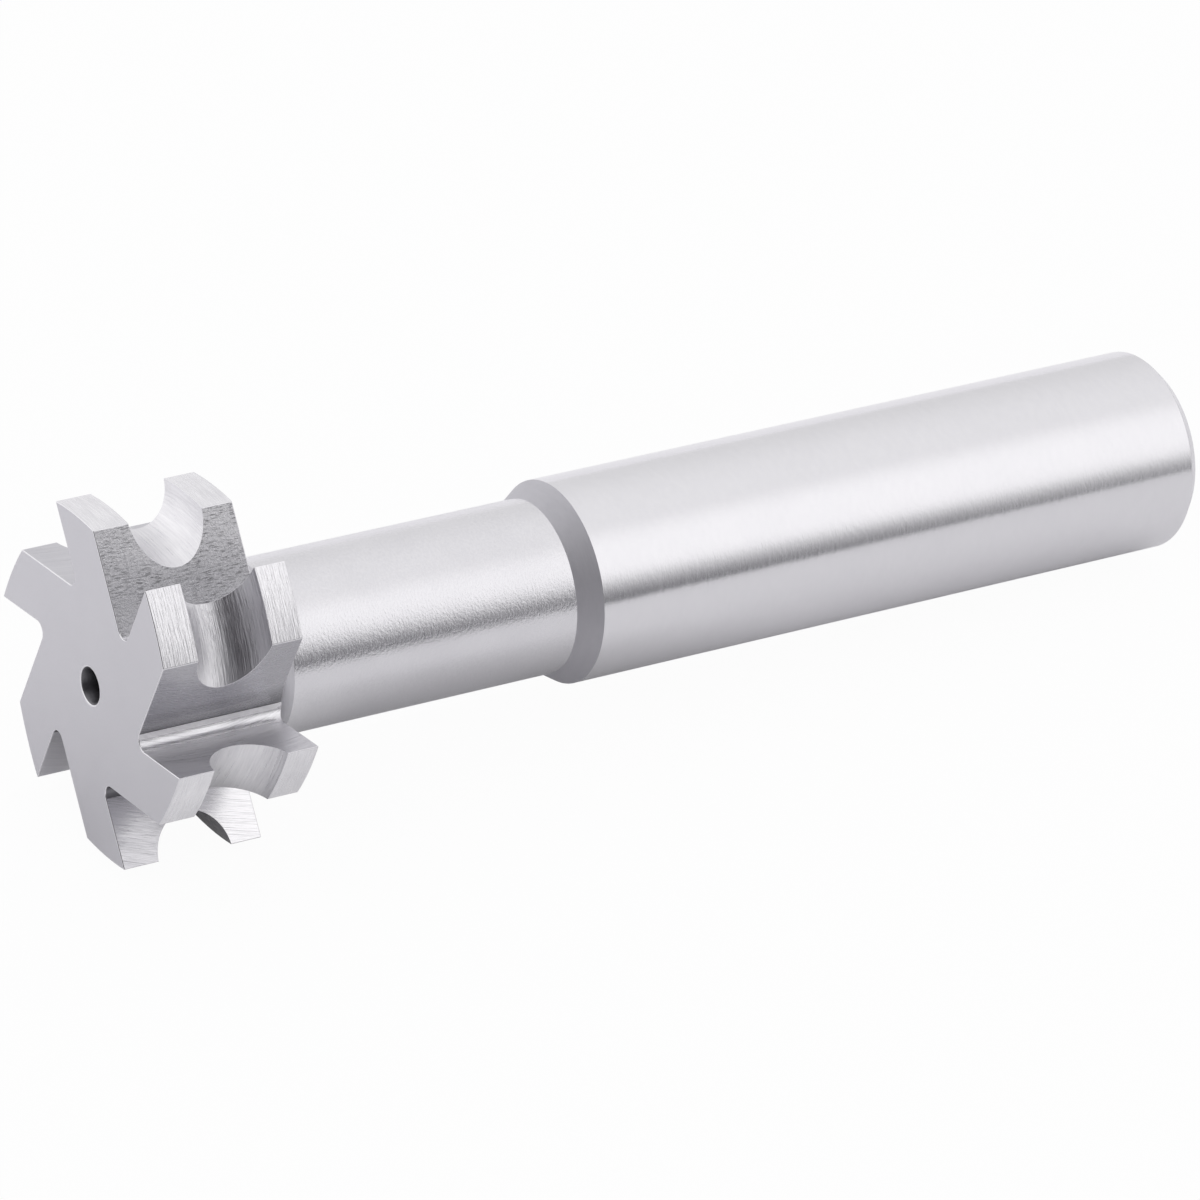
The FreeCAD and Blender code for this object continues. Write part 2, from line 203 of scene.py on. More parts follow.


# tone: reflected colour from darkest to lightest; grain: lines per mm across and along; depth in microns;
# flat: laid out over the face; streaks: share of the broad streaks; torn: grains per mm;
# the painted fade: painted light and shade, a change to another tone between two distances
# along the cutter or out from its axis
steelFinishes = {
    "frontFace": {"tone": (0.68, 0.71), "rough": (0.45, 0.5), "grain": (14, 14), "depth": 3, "flat": False},
    "toothLand": {"tone": (0.76, 1.0), "rough": (0.2, 0.3), "grain": (8, 0.5), "depth": 15, "flat": True,
                  "streaks": 0.25},
    "edgeForm": {"tone": (0.70, 0.94), "rough": (0.26, 0.36), "grain": (8, 0.35), "depth": 24, "flat": True,
                 "streaks": 0.25},
    # painted light and shade: a lighter copy of the form, with painted shade growing towards its rear flank
    "edgeFormPaintedLight": {"tone": (0.82, 1.0), "rough": (0.26, 0.36), "grain": (8, 0.35), "depth": 24,
                       "flat": True, "streaks": 0.25, "paintedFade": ("Along", 4.4, 6.9, (0.40, 0.56))},
    "rakeFace": {"tone": (0.62, 0.81), "rough": (0.26, 0.38), "grain": (7, 0.14), "depth": 26, "flat": True},
    # painted highlight: this rake face grows lighter towards the rear
    "rakeFacePaintedHighlight": {"tone": (0.62, 0.81), "rough": (0.18, 0.28), "grain": (9, 0.16), "depth": 17,
                       "flat": True, "paintedFade": ("Along", 2.5, 6.5, (0.92, 1.0))},
    # painted shade: the back grows darker towards its foot
    "toothBack": {"tone": (0.53, 0.58), "rough": (0.22, 0.32), "grain": (7, 0.3), "depth": 4, "flat": True,
                  "paintedFade": ("Out", 7.05, 6.25, (0.25, 0.28))},
    "toothBackPale": {"tone": (0.57, 0.71), "rough": (0.26, 0.36), "grain": (7, 0.14), "depth": 16,
                      "flat": True},
    # a torn skin, with painted shade growing towards the root
    "toothBackRough": {"tone": (0.66, 1.0), "rough": (0.38, 0.48), "grain": (5, 1.5), "depth": 105,
                       "flat": True, "torn": 9, "paintedFade": ("Out", 8.6, 7.0, (0.49, 0.8))},
    # painted shade: a dark line where a back meets the root
    "gulletFootPaintedShade": {"tone": (0.05, 0.2), "rough": (0.4, 0.5), "grain": (9, 1.5), "depth": 20, "flat": True},
    "gulletBand": {"tone": (0.86, 1.0), "rough": (0.45, 0.55), "grain": (11, 3), "depth": 40, "flat": True},
    "gulletRoot": {"tone": (0.58, 0.98), "rough": (0.18, 0.27), "grain": (12, 0.14), "depth": 14,
                   "flat": True},
    # painted shade: the roots of the lower gaps are made dark
    "gulletRootPaintedShade": {"tone": (0.16, 0.26), "rough": (0.3, 0.4), "grain": (12, 0.14), "depth": 14,
                       "flat": True},
    "headBack": {"tone": (0.72, 0.80), "rough": (0.35, 0.45), "grain": (6, 6), "depth": 8, "flat": False},
    "hollowCorner": {"tone": (0.58, 0.68), "rough": (0.28, 0.4), "grain": (9, 0.6), "depth": 8,
                     "flat": False},
    "neck": {"tone": (0.76, 0.84), "rough": (0.14, 0.21), "grain": (8, 4.5), "depth": 6.5, "flat": False,
             "streaks": 0.03},
    "shoulder": {"tone": (0.61, 0.66), "rough": (0.66, 0.74), "grain": (10, 1.5), "depth": 6, "flat": False},
    "shank": {"tone": (0.8, 0.84), "rough": (0.13, 0.19), "grain": (9, 2.5), "depth": 3, "flat": False},
    "endFace": {"tone": (0.66, 0.74), "rough": (0.32, 0.42), "grain": (1, 9), "depth": 8, "flat": False},
    "endChamfer": {"tone": (0.78, 0.86), "rough": (0.25, 0.33), "grain": (10, 1), "depth": 6, "flat": False},
    # painted shade: the holes are lined with very dark steel
    "centreHole": {"tone": (0.14, 0.21), "rough": (0.4, 0.5), "grain": (8, 1), "depth": 8, "flat": False},
    "brokenEdge": {"tone": (0.76, 0.86), "rough": (0.2, 0.26), "grain": (4, 4), "depth": 4, "flat": False},
}
finishNames = list(steelFinishes)


steelBlend = {
    "driftScale": 0.35,        # slow changes of tone, per mm
    "driftShare": 0.3,         # and their share of the tone
    "streakShare": 0.5,        # of the broad streaks, in a finish that names none
    "tearShare": 0.7,          # how much of a tear's own tone shows
    "tearTone": 0.4,           # that tone against the finish's darkest
    "tornLines": 0.3,          # height of the ground lines on a torn skin
    "darkTone": 0.55,          # steel up to this tone is bluest
    "darkTint": (0.955, 0.945, 1.0),
    "paleTone": 0.9,
    "paleTint": (0.995, 0.988, 1.0),
}


def steelTone(value):
    s = steelBlend
    share = min(max((value - s["darkTone"]) / (s["paleTone"] - s["darkTone"]), 0), 1)
    return tinted(value, [low + (high - low) * share for low, high in zip(s["darkTint"], s["paleTint"])])


def toneBetween(tree, share, tones):
    return mixColours(tree, share, steelTone(tones[0]), steelTone(tones[1]))


# Millimetres along the axis and across it, whichever way the cutter lies
def inCutter(tree, sizes):
    return addNode(tree, "ShaderNodeMapping", {
        "Vector": addNode(tree, "ShaderNodeTexCoord").outputs["Object"],
        "Location": Vector(sizes["place"]) * mm,
        "Rotation": (math.radians(sizes["turn"]), math.radians(sizes["fall"]), 0),
        "Scale": (mm, mm, mm)}, vector_type="TEXTURE").outputs[0]


def makeSteel(name, look, sizes):
    s = steelBlend
    material = bpy.data.materials.new(name)
    material.use_nodes = True
    tree = material.node_tree
    if look["flat"]:
        where = addNode(tree, "ShaderNodeUVMap", uv_map="grain").outputs[0]
    else:
        where = inCutter(tree, sizes)
    lines = addNode(tree, "ShaderNodeGroup", {"Vector": where, "Across": look["grain"][0],
                                              "Along": look["grain"][1]}, node_tree=grindLines).outputs
    drift = addNode(tree, "ShaderNodeGroup", {"Vector": where, "Scale": s["driftScale"]},
                    node_tree=toneDrift).outputs["Drift"]
    height = blend(tree, lines["Lines"], lines["Streaks"], look.get("streaks", s["streakShare"]))
    worn = height
    if "torn" in look:
        torn = addNode(tree, "ShaderNodeGroup", {"Vector": where, "Scale": look["torn"]},
                       node_tree=tornSkin).outputs
        worn = torn["Grains"]
        height = maths(tree, "ADD", maths(tree, "MULTIPLY", height, s["tornLines"]), torn["Height"])
    share = blend(tree, worn, drift, s["driftShare"])
    colour = toneBetween(tree, share, look["tone"])
    # painted light and shade: the tone changes to another between two distances
    if "paintedFade" in look:
        measure, start, end, tones = look["paintedFade"]
        paintedFade = addNode(tree, "ShaderNodeGroup", {"Vector": inCutter(tree, sizes), "Start": start,
                                                 "End": end}, node_tree=paintedLightFade).outputs
        colour = mixColours(tree, paintedFade[measure], colour, toneBetween(tree, share, tones))
    if "torn" in look:
        colour = mixColours(tree, maths(tree, "MULTIPLY", torn["Tears"], s["tearShare"]), colour,
                            steelTone(look["tone"][0] * s["tearTone"]))
    bump = addNode(tree, "ShaderNodeBump", {"Height": height, "Strength": 1.0,
                                            "Distance": look["depth"] * micron})
    steel = tree.nodes["Principled BSDF"]
    steel.inputs["Metallic"].default_value = 1.0
    tree.links.new(colour, steel.inputs["Base Color"])
    tree.links.new(spread(tree, lines["Lines"], 0, 1, *look["rough"]), steel.inputs["Roughness"])
    tree.links.new(bump.outputs[0], steel.inputs["Normal"])
    return material


# Millimetres and degrees, measured along the axis from the front face
cutterSizes = {
    "tipRadius": 11.1125,
    "headWidth": 9.28,
    "cornerRadius": 1.5,
    "neckRadius": 5.455,
    "neckEnd": 30.35,
    "shoulderEnd": 31.75,
    "shankRadius": 6.35,
    "length": 76.2,
    "endChamfer": 0.8,
    "teeth": 6,
    "rakeAngle": 9.2,
    "landAngle": 25,
    "reliefRadius": 20,
    "reliefAngle": 17.1,
    "gulletAngle": 59.4,
    "gulletRadius": 0.65,
    "formRadius": 2.46,
    "formDepth": 2.3,
    "formCentre": 4.78,
    "holeRadius": 1.05,
    "holeLip": 0.16,
    "holeDepth": 4.0,
    "rearMouth": 1.8,
    "rearPilot": 0.8,
    "rearDepth": 3.8,
    "centreAngle": 30,         # from the axis to the side of the rear centre
    "drillAngle": 59,          # and to the side of a drill's point
    "edgeBreak": 0.06,
    "breakSegments": 2,
    "breakAngle": 28,          # edges that turn by more than this are broken
    "formBreak": 0.3,          # and those of the half-round forms by this share
    "creaseAngle": 6,          # finishes that meet at more than this angle meet in a crisp line
    "turn": 55.529,            # first tooth's tip above the level, seen from the front face
    "fall": 3.18347,           # how far the axis falls towards the shank
    "place": (-37.91688, 0, 10.527421),
}

# Into how many steps each stretch of the surface is divided, and how finely it is worked out
meshSteps = {
    "edge": 5,                 # the land on each side of the form
    "form": 30,
    "gullet": (5, 18, 5),      # down the last tooth's back, round the root, up the rake face
    # the dark line at a back's foot is painted shade
    "footEnd": 1,              # steps round the root to the end of the dark line at a back's foot
    "bandEnd": 6,              # and to the end of the grainy band
    "face": 6,                 # a rake face or a back outside the hollow corner's rim
    "land": 20,
    "arc": 24,                 # the turned surfaces, for each tooth
    "hole": 10,                # the front hole, for each tooth
    "holeRing": 1 / 3,         # how far down its wall the middle ring lies
    "corner": 12,
    "cornerCrowd": 1.6,        # its rows crowd towards the neck by this power
    "cornerEnd": 4,
    "neck": 10,
    "shoulder": 2,
    "shank": 20,
    "endChamfer": 1,
    "endFace": 5,
    "rearCone": 3,
    "rearPilot": 2,
    "rearPoint": 2,
    "lowest": 400,             # tries round the root for its lowest place
    "halvings": 60,            # of a stretch, to find where it crosses a radius
    "weld": 0.0005,            # corners closer than this are one, in mm
}

# How each tooth is finished, with the gap in front of it: bow is the radius of the marks left there,
# and lean how far they slant on the rake face
plainTooth = {"form": "edgeForm", "back": "toothBack", "rake": "rakeFace", "root": "gulletRoot",
              "bow": 90, "lean": 0}
toothFinishes = [
    {**plainTooth, "back": "toothBackRough", "bow": 14},
    # the second tooth: painted light and shade on its form
    {**plainTooth, "form": "edgeFormPaintedLight"},
    {**plainTooth, "bow": 14},
    # the fourth tooth: painted highlight on its rake face, painted shade in its root
    {**plainTooth, "rake": "rakeFacePaintedHighlight", "root": "gulletRootPaintedShade", "lean": 0.3},
    # the fifth tooth: painted shade in its root
    {**plainTooth, "root": "gulletRootPaintedShade", "lean": 0.28},
    {**plainTooth, "back": "toothBackPale", "bow": 20, "lean": 0.1},
]
grainShift = (41.3, 17.9)      # mm between one tooth's grain and the next one's, so that no two are alike


def between(a, b, count):
    return [a + (b - a) * k / count for k in range(count + 1)]


# Cross-sections are worked out as complex numbers, y + z i, with the first tip on y

def turned(degrees):
    return cmath.rect(1, math.radians(degrees))


def around(a, b, count):
    return [cmath.rect(abs(a), cmath.phase(a) + cmath.phase(b / a) * k / count) for k in range(count + 1)]


def toothSection(s):
    pitch = 360 / s["teeth"]
    tip = complex(s["tipRadius"], 0)
    relief = tip - s["reliefRadius"] * turned(s["reliefAngle"])
    ray = turned(s["landAngle"])
    along = (relief * ray.conjugate()).real
    across = (relief * ray.conjugate()).imag
    heel = (along + math.sqrt(s["reliefRadius"] ** 2 - across ** 2)) * ray
    face = turned(-s["rakeAngle"])
    back = turned(-s["rakeAngle"] - s["gulletAngle"])
    lastHeel = heel * turned(-pitch)
    gap = lastHeel - tip
    root = tip + face * ((back.conjugate() * gap).imag / (back.conjugate() * face).imag)
    half = math.radians(s["gulletAngle"] / 2)
    setback = s["gulletRadius"] / math.tan(half)
    middle = root + turned(-s["rakeAngle"] - s["gulletAngle"] / 2) * (s["gulletRadius"] / math.sin(half))
    return {"pitch": pitch, "tip": tip, "relief": relief, "heel": heel, "face": face,
            "backOut": back * turned(pitch), "lastHeel": lastHeel, "onBack": root + back * setback,
            "onFace": root + face * setback, "middle": middle, "sweep": math.pi - 2 * half,
            "rim": s["neckRadius"] + s["cornerRadius"]}


# The gap's outline from the last heel (distance 0) down round the gullet and up to the tip
def gulletCurve(s, t):
    down = abs(t["onBack"] - t["lastHeel"])
    bend = s["gulletRadius"] * t["sweep"]
    up = abs(t["tip"] - t["onFace"])
    length = down + bend + up

    def at(d):
        if d <= down:
            return t["lastHeel"] + (t["onBack"] - t["lastHeel"]) * (d / down)
        if d <= down + bend:
            return t["middle"] + (t["onBack"] - t["middle"]) * cmath.rect(1, (down - d) / s["gulletRadius"])
        return t["onFace"] + (t["tip"] - t["onFace"]) * ((d - down - bend) / up)

    lowest = min(between(down, down + bend, meshSteps["lowest"]), key=lambda d: abs(at(d)))

    # near is inside the radius, far outside it
    def crossing(radius, near, far):
        for _ in range(meshSteps["halvings"]):
            mid = (near + far) / 2
            if abs(at(mid)) < radius:
                near = mid
            else:
                far = mid
        return (near + far) / 2

    # the part of the outline inside a radius: its places, and their distances from the last heel
    def row(radius):
        low = high = lowest
        if radius > abs(at(lowest)) + meshSteps["weld"]:
            low, high = crossing(radius, lowest, 0), crossing(radius, lowest, length)
        first = min(max(down, low), high)
        second = min(max(down + bend, low), high)
        back, root, face = meshSteps["gullet"]
        spots = between(low, first, back)
        spots += between(first, second, root)[1:] + between(second, high, face)[1:]
        return [at(d) for d in spots], spots
    return {"row": row, "lowest": at(lowest), "length": length}


# Where the line through a point of the full land meets the arc of another radius about the relief centre
def alongRay(point, ray, relief, radius):
    arm = point - relief
    reach = (ray.conjugate() * arm).real
    return point - ray * (reach - math.sqrt(reach ** 2 - abs(arm) ** 2 + radius ** 2))


# Places along the head's width, each with the land's radius there and the distance over the surface
def headStations(s):
    rise = s["formRadius"] - s["formDepth"]
    widest = math.acos(rise / s["formRadius"])
    half = s["formRadius"] * math.sin(widest)
    first, last = s["formCentre"] - half, s["formCentre"] + half
    full = s["reliefRadius"]
    rows = [(x, full, x) for x in between(0, first, meshSteps["edge"])[:-1]]
    for angle in between(-widest, widest, meshSteps["form"]):
        rows.append((s["formCentre"] + s["formRadius"] * math.sin(angle),
                     full + rise - s["formRadius"] * math.cos(angle),
                     first + s["formRadius"] * (angle + widest)))
    over = first + 2 * s["formRadius"] * widest
    rows += [(x, full, over + x - last) for x in between(last, s["headWidth"], meshSteps["edge"])[1:]]
    return rows


# The skin gathers the cutter's surface, with a finish and a flat layout in millimetres for each face

def newSkin():
    mesh = bmesh.new()
    return {"mesh": mesh, "grain": mesh.loops.layers.uv.new("grain")}


def addFace(skin, corners, finish, lean=0):
    verts = [skin["mesh"].verts.new(place) for place, flat in corners]
    made = skin["mesh"].faces.new(verts)
    made.material_index = finishNames.index(finish)
    made.smooth = True
    for loop, (place, flat) in zip(made.loops, corners):
        loop[skin["grain"]].uv = (flat[0] - lean * flat[1], flat[1])


def addStrips(skin, rows, finish, lean=0):
    for low, high in zip(rows, rows[1:]):
        for corners in zip(low, low[1:], high[1:], high):
            addFace(skin, corners, finish, lean)


def inSpace(x, section):
    return (x, section.real, section.imag)


# Each gap's grain is laid out by the distance from the last heel, bowed as the mill ran
def gapLayout(s, gap):
    gap %= s["teeth"]
    bow = toothFinishes[gap]["bow"]

    def at(distance, x):
        return (distance + (x - s["headWidth"] / 2) ** 2 / (2 * bow) + grainShift[0] * gap,
                x + grainShift[1] * gap)
    return at


# A gullet's rows in stretches: the last tooth's back, the painted shade line at its foot, the grainy band,
# the root and the rake face. A rough or pale back runs on over the line and the band.
def addGullet(skin, rows, tooth):
    finish = toothFinishes[tooth]
    back = toothFinishes[tooth - 1]["back"]
    foot, band = ("gulletFootPaintedShade", "gulletBand") if back == "toothBack" else (back, back)
    down, bend, up = meshSteps["gullet"]
    starts = [0, down, down + meshSteps["footEnd"], down + meshSteps["bandEnd"], down + bend,
              down + bend + up]
    for low, high, name in zip(starts, starts[1:], (back, foot, band, finish["root"], finish["rake"])):
        lean = finish["lean"] if name == finish["rake"] else 0
        addStrips(skin, [line[low:high + 1] for line in rows], name, lean)


def addTooth(skin, s, t, curve, tooth):
    finish = toothFinishes[tooth]
    stations = headStations(s)
    full = s["reliefRadius"]
    spin = turned(t["pitch"] * tooth)
    before, after = gapLayout(s, tooth), gapLayout(s, tooth + 1)
    gullet, spots = curve["row"](t["rim"])

    def rake(radius):
        return between(gullet[-1], alongRay(t["tip"], t["face"], t["relief"], radius), meshSteps["face"])

    def back(radius):
        return between(alongRay(t["heel"], t["backOut"], t["relief"], radius),
                       gullet[0] * turned(t["pitch"]), meshSteps["face"])

    def land(radius):
        arc = around(rake(radius)[-1] - t["relief"], back(radius)[0] - t["relief"], meshSteps["land"])
        return [p + t["relief"] for p in arc]

    addGullet(skin, [[(inSpace(x, p * spin), before(d, x)) for p, d in zip(gullet, spots)]
                     for x, radius, over in stations], tooth)
    addStrips(skin, [[(inSpace(x, p * spin), before(curve["length"] - abs(p - t["tip"]), x))
                      for p in rake(radius)] for x, radius, over in stations], finish["rake"], finish["lean"])
    addStrips(skin, [[(inSpace(x, p * spin), after(abs(p - t["heel"]), x)) for p in back(radius)]
                     for x, radius, over in stations], finish["back"])
    rows = [[(inSpace(x, p * spin), (over + grainShift[0] * tooth,
                                     abs(p - land(radius)[0]) + grainShift[1] * tooth))
             for p in land(radius)] for x, radius, over in stations]
    edge, form = meshSteps["edge"], meshSteps["form"]
    addStrips(skin, rows[:edge + 1], "toothLand")
    addStrips(skin, rows[edge:edge + form + 1], finish["form"])
    addStrips(skin, rows[edge + form:], "toothLand")

    # front face of this sector, from the middle of one gullet to the middle of the next
    middle = len(gullet) // 2
    outline = gullet[middle:] + rake(full)[1:] + land(full)[1:] + back(full)[1:]
    outline += [p * turned(t["pitch"]) for p in gullet[1:middle + 1]]
    mouth = (s["holeRadius"] + s["holeLip"]) / abs(outline[0])
    outline += around(outline[-1] * mouth, outline[0] * mouth, meshSteps["hole"])
    addFace(skin, [(inSpace(0, p * spin), (p.real, p.imag)) for p in outline], "frontFace")
    # rear face of the tooth, down to the hollow corner
    outline = rake(full) + land(full)[1:] + back(full)[1:]
    outline += around(outline[-1], outline[0], meshSteps["arc"])[1:-1]
    addFace(skin, [(inSpace(s["headWidth"], p * spin), (p.real, p.imag)) for p in outline], "headBack")


# From here outlines that are turned round the axis are complex numbers too, x + radius i

def onCorner(s, t, angle):
    return complex(s["headWidth"] + s["cornerRadius"] * (1 - math.cos(angle)),
                   t["rim"] - s["cornerRadius"] * math.sin(angle))


# The hollow corner behind the head, with the gullets running out through it
def addCorner(skin, s, t, curve):
    last = math.asin((t["rim"] - abs(curve["lowest"])) / s["cornerRadius"])
    count = meshSteps["corner"]
    for tooth in range(s["teeth"]):
        spin = turned(t["pitch"] * tooth)
        layout = gapLayout(s, tooth)
        gulletRows, cornerRows = [], []
        for k in range(count + 1):
            angle = last * (1 - (1 - k / count) ** meshSteps["cornerCrowd"])
            place = onCorner(s, t, angle)
            points, spots = curve["row"](place.imag)
            gulletRows.append([(inSpace(place.real, p * spin), layout(d, place.real))
                               for p, d in zip(points, spots)])
            arc = around(points[-1], points[0] * turned(t["pitch"]), meshSteps["arc"])
            cornerRows.append([(inSpace(place.real, p * spin), (s["cornerRadius"] * angle, abs(p - arc[0])))
                               for p in arc])
        addGullet(skin, gulletRows, tooth)
        addStrips(skin, cornerRows, "hollowCorner")
    return last


# Everything turned round the axis: each finish with its outline, from the hollow corner to the rear centre
def turnedProfile(s, t, last):
    cornerEnd = [onCorner(s, t, angle) for angle in between(last, math.pi / 2, meshSteps["cornerEnd"])]
    neckStart = complex(s["headWidth"] + s["cornerRadius"], s["neckRadius"])
    neckEnd = complex(s["neckEnd"], s["neckRadius"])
    shankStart = complex(s["shoulderEnd"], s["shankRadius"])
    shankEnd = complex(s["length"] - s["endChamfer"], s["shankRadius"])
    rearEdge = complex(s["length"], s["shankRadius"] - s["endChamfer"])
    mouth = complex(s["length"], s["rearMouth"])
    cone = (s["rearMouth"] - s["rearPilot"]) / math.tan(math.radians(s["centreAngle"]))
    pilot = complex(s["length"] - cone, s["rearPilot"])
    pilotEnd = complex(s["length"] - s["rearDepth"], s["rearPilot"])
    point = complex(pilotEnd.real - s["rearPilot"] / math.tan(math.radians(s["drillAngle"])), 0)
    return [("hollowCorner", cornerEnd),
            ("neck", between(neckStart, neckEnd, meshSteps["neck"])),
            ("shoulder", between(neckEnd, shankStart, meshSteps["shoulder"])),
            ("shank", between(shankStart, shankEnd, meshSteps["shank"])),
            ("endChamfer", between(shankEnd, rearEdge, meshSteps["endChamfer"])),
            ("endFace", between(rearEdge, mouth, meshSteps["endFace"])),
            ("centreHole", between(mouth, pilot, meshSteps["rearCone"])),
            ("centreHole", between(pilot, pilotEnd, meshSteps["rearPilot"])),
            ("centreHole", between(pilotEnd, point, meshSteps["rearPoint"]))]


# The drilled hole in the front face, with a small lip
def holeProfile(s):
    mouth = complex(0, s["holeRadius"] + s["holeLip"])
    lip = complex(s["holeLip"], s["holeRadius"])
    wallEnd = complex(s["holeDepth"], s["holeRadius"])
    ring = lip + (wallEnd - lip) * meshSteps["holeRing"]
    point = complex(s["holeDepth"] + s["holeRadius"] / math.tan(math.radians(s["drillAngle"])), 0)
    return [("centreHole", [mouth, lip, ring, wallEnd, point])]


def addTurned(skin, profile, start, count):
    ring = [start / abs(start) * turned(360 * k / count) for k in range(count + 1)]
    over = 0
    for finish, points in profile:
        step = 2 * math.pi * points[0].imag / count
        rows = []
        for k, point in enumerate(points):
            if k:
                over += abs(point - points[k - 1])
            rows.append([(inSpace(point.real, p * point.imag), (over, step * n)) for n, p in enumerate(ring)])
        addStrips(skin, rows, finish)


def closeSkin(skin, s, name, matrix):
    mesh = skin["mesh"]
    bmesh.ops.remove_doubles(mesh, verts=mesh.verts, dist=meshSteps["weld"])
    bmesh.ops.dissolve_degenerate(mesh, dist=meshSteps["weld"], edges=mesh.edges)
    bmesh.ops.recalc_face_normals(mesh, faces=mesh.faces)
    loose = [e for e in mesh.edges if len(e.link_faces) != 2]
    print("skin:", len(mesh.faces), "faces,", len(loose), "edges without two faces")
    weight = mesh.edges.layers.float.new("bevel_weight_edge")
    # the fine edges round the hollow corner and the cone stay as they are
    crisp = {finishNames.index(finish) for finish in ("hollowCorner", "neck", "shoulder")}
    forms = {finishNames.index(finish["form"]) for finish in toothFinishes}
    for edge in mesh.edges:
        meeting = {face.material_index for face in edge.link_faces}
        angle = edge.calc_face_angle()
        edge.smooth = len(meeting) < 2 or angle < math.radians(s["creaseAngle"])
        if len(meeting) == 2 and angle > math.radians(s["breakAngle"]) and not meeting & crisp:
            edge[weight] = s["formBreak"] if meeting & forms else 1
    mesh.transform(matrix)
    made = bpy.data.meshes.new(name)
    mesh.to_mesh(made)
    mesh.free()
    return made


def makeCutter():
    s = cutterSizes
    t = toothSection(s)
    curve = gulletCurve(s, t)
    skin = newSkin()
    for tooth in range(s["teeth"]):
        addTooth(skin, s, t, curve, tooth)
    last = addCorner(skin, s, t, curve)
    addTurned(skin, turnedProfile(s, t, last), curve["lowest"], s["teeth"] * meshSteps["arc"])
    gullet, spots = curve["row"](t["rim"])
    addTurned(skin, holeProfile(s), gullet[len(gullet) // 2], s["teeth"] * meshSteps["hole"])
    place = Matrix.Translation(Vector(s["place"]) * mm)
    lie = Matrix.Rotation(math.radians(s["fall"]), 4, "Y") @ Matrix.Rotation(math.radians(s["turn"]), 4, "X")
    mesh = closeSkin(skin, s, "cutterBody", place @ lie @ Matrix.Scale(mm, 4))
    for name in finishNames:
        mesh.materials.append(makeSteel(name, steelFinishes[name], s))
    cutter = bpy.data.objects.new("cutterBody", mesh)
    scene.collection.objects.link(cutter)
    edges = cutter.modifiers.new("edgeBreak", "BEVEL")
    edges.width = s["edgeBreak"] * mm
    edges.segments = s["breakSegments"]
    edges.limit_method = "WEIGHT"
    edges.use_clamp_overlap = False
    edges.harden_normals = True
    edges.material = finishNames.index("brokenEdge")
    return cutter


cutter = makeCutter()
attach(cutter, "root")
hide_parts("concave_cutter")
print("cutter made:", len(cutter.data.polygons), "faces before its edges are broken,",
      len(finishNames), "finishes")


# Metres; the ways are directions from the cutter, and their spreads the outer and inner angle in degrees
studioSizes = {
    "floorWidth": 8.0,
    "floorDrop": 0.00002,
    "floorTone": 0.86,
    "floorLift": 0.96,         # how far the floor is lifted to white for the camera
    # painted light: a glow in the floor near the head, seen only in the steel's reflections
    "glowPlace": (-0.031, -0.013, 0.0),
    "glowReach": (0.005, 0.014),
    "glowLift": (0.4, 0.04),   # how far its shadow is lifted in the steel's reflections, here and elsewhere
    # painted light and shade: in the steel's reflections the floor is darker in front of the cutter and
    # lighter behind it
    "mirrorFront": 0.89,       # the floor in the steel's reflections, in front of the cutter and behind it
    "mirrorBack": 1.06,
    "mirrorTurn": (-0.005, 0.03),
    # painted shadows on the floor in the steel's reflections, under the neck and under the head
    "neckShadowPlace": (-0.012, 0.0, 0.0),           # it is darker close under the neck
    "neckShadowReach": (0.006, 0.026),
    "neckShadowShare": 0.76,
    "headShadowPlace": (-0.0312, -0.0025, 0.0),      # and darkest under the head
    "headShadowReach": (0.003, 0.0075),
    "headShadowShare": 0.36,
    "skyLow": 0.79,
    "skyTop": 0.96,
    "airTint": (0.99, 0.985, 1.0),
    "shellRadius": 1.5,
    "shellSteps": (64, 32),
    "shellFoot": -0.001,       # what lies lower is cut away
    "firstBounce": (1.4, 1.6),                 # a ray's depth at the first bounce in the steel, and past it
    "deepShare": 0.1,          # how much of the dark side shows after a second bounce in the steel
    "deepTable": 0.7,          # and of the table's edge
    "panelWay": (0.56, -0.55, 0.62),
    "panelTone": 1.13,
    "panelSpread": (34, 2),
    "backWay": (-0.55, 0.83, 0.0),
    "backTone": 1.12,
    "backSpread": (68, 22),
    "brightTint": (0.995, 0.988, 1.0),
    "shadeWay": (-0.5, -0.72, 0.42),
    "shadeTone": 0.27,
    "shadeSpread": (53, 28),
    "shadeTint": (0.94, 0.93, 1.0),
    "coreWay": (-0.5, -0.66, 0.55),
    "coreTone": 0.06,
    "coreSpread": (50, 14),
    "coreTint": (0.97, 0.88, 1.0),
    "tableWay": (0.5, -0.87, 0.1),
    "tableSpread": (62, 34),
    "tableEdge": (0.44, 0.03),
    "tableSlant": 1.6,
    "tableTone": 0.18,
}


def newStageMaterial(name):
    material = bpy.data.materials.new(name)
    material.use_nodes = True
    material.node_tree.nodes.clear()
    return material, material.node_tree


# A value that changes with the distance from a spot on the floor
def roundSpot(tree, place, spot, reach, atSpot, away=1.0, ease="SMOOTHSTEP"):
    return spread(tree, vectorMaths(tree, "DISTANCE", place, spot)["Value"], *reach, atSpot, away, ease)


